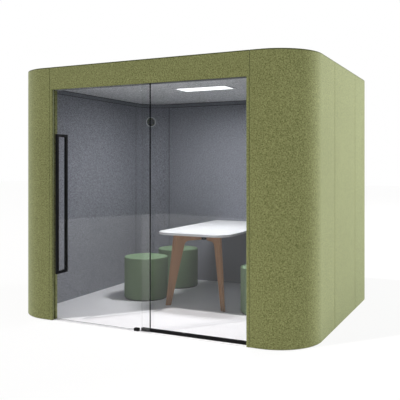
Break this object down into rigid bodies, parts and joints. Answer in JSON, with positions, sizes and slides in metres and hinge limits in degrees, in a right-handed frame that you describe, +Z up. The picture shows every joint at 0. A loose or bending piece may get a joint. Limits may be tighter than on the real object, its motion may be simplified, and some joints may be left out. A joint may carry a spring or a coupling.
{
  "type": "acoustic office pod",
  "caption": "Free-standing felt meeting pod with rounded corners, a sliding glass door beside a fixed pane, a ceiling light, a corner vent, a table and round stools.",
  "frame": {"origin": "on the ground under the middle of the walls, at the underside of the base plate", "axes": "+X to the right as seen from the glass front, +Y to the back, +Z up"},
  "size_m": [2.88, 2.4802, 2.3],
  "materials": {
    "green_felt": "heathered pressed felt",
    "grey_felt": "pressed felt",
    "stool_felt": "wool felt over foam",
    "insulation": "acoustic wool",
    "ceiling_felt": "pressed felt",
    "trim_felt": "pressed felt",
    "floor": "smooth matt",
    "diffuser": "opal",
    "dark_plastic": "matt",
    "pale_plastic": "satin",
    "grey_plastic": "matt",
    "steel": "satin",
    "black_metal": "powder coat",
    "white_metal": "powder coat",
    "aluminium": "anodised",
    "glass": "clear laminated",
    "rubber": "soft",
    "roof_board": "painted board",
    "white_top": "white laminate",
    "wood": "oiled"
  },
  "bodies": {
    "pod": {"back_core": "insulation", "back_frame": "steel", "back_left_corner_panel": "green_felt", "back_left_lining": "grey_felt", "back_lining": "grey_felt", "back_panel": "green_felt", "back_right_corner_panel": "green_felt", "back_right_lining": "grey_felt", "base_plate": "floor", "bottom_channel": "black_metal", "ceiling_panel": "ceiling_felt", "ceiling_trim": "trim_felt", "door_seal": "rubber", "door_track": "aluminium", "fan_housing": "dark_plastic", "fixed_glass": "glass", "floor_covering": "floor", "floor_guide": "black_metal", "front_frame": "steel", "front_left_corner_panel": "green_felt", "front_left_lining": "grey_felt", "front_right_corner_panel": "green_felt", "front_right_lining": "grey_felt", "header_fascia": "grey_felt", "header_panel": "green_felt", "left_core": "insulation", "left_frame": "steel", "left_jamb": "green_felt", "left_lining": "grey_felt", "left_side_panel": "green_felt", "light_diffuser": "diffuser", "light_driver": "white_metal", "light_frame": "white_metal", "right_core": "insulation", "right_frame": "steel", "right_jamb": "green_felt", "right_lining": "grey_felt", "right_side_panel": "green_felt", "roof_outlet": "dark_plastic", "roof_panel": "roof_board", "table_left_leg": "wood", "table_leg_bracket": "black_metal", "table_right_leg": "wood", "table_top": "white_top", "table_wall_bracket": "black_metal", "top_channel": "black_metal", "vent_grille": "grey_plastic", "vent_ring": "pale_plastic"},
    "door": {"door_glass": "glass", "outer_handle": "black_metal", "inner_handle": "black_metal", "left_hanger": "steel", "right_hanger": "steel"},
    "left_roller_set": {"left_rollers": "dark_plastic"},
    "right_roller_set": {"right_rollers": "dark_plastic"},
    "fan": {"fan_rotor": "dark_plastic"},
    "front_left_stool": {"front_left_stool": "stool_felt"},
    "front_right_stool": {"front_right_stool": "stool_felt"},
    "back_left_stool": {"back_left_stool": "stool_felt"},
    "back_right_stool": {"back_right_stool": "stool_felt"}
  },
  "joints": [
    {"name": "door_slide", "type": "slide", "parent": "pod", "child": "door", "axis": [1, 0, 0], "range_m": [0, 0.79]},
    {"name": "left_roller_turn", "type": "hinge", "parent": "door", "child": "left_roller_set", "pos_m": [-0.8054, -1.1857, 2.1603], "axis": [0, 1, 0], "range_deg": [0, 3780]},
    {"name": "right_roller_turn", "type": "hinge", "parent": "door", "child": "right_roller_set", "pos_m": [-0.08, -1.1857, 2.1603], "axis": [0, 1, 0], "range_deg": [0, 3780]},
    {"name": "fan_spin", "type": "hinge", "parent": "pod", "child": "fan", "pos_m": [-1.28481, 1.06481, 1.96], "axis": [-0.7071, 0.7071, 0], "continuous": true},
    {"name": "front_left_stool_slide", "type": "slide", "parent": "pod", "child": "front_left_stool", "axis": [-1, 0, 0], "range_m": [-0.12, 0.35]},
    {"name": "front_right_stool_slide", "type": "slide", "parent": "pod", "child": "front_right_stool", "axis": [1, 0, 0], "range_m": [-0.12, 0.35]},
    {"name": "back_left_stool_slide", "type": "slide", "parent": "pod", "child": "back_left_stool", "axis": [-1, 0, 0], "range_m": [-0.12, 0.35]},
    {"name": "back_right_stool_slide", "type": "slide", "parent": "pod", "child": "back_right_stool", "axis": [1, 0, 0], "range_m": [-0.12, 0.35]}
  ],
  "couplings": [
    {"joint": "left_roller_turn", "follows": "door_slide", "rad_per_m": 83.333},
    {"joint": "right_roller_turn", "follows": "door_slide", "rad_per_m": 83.333}
  ]
}
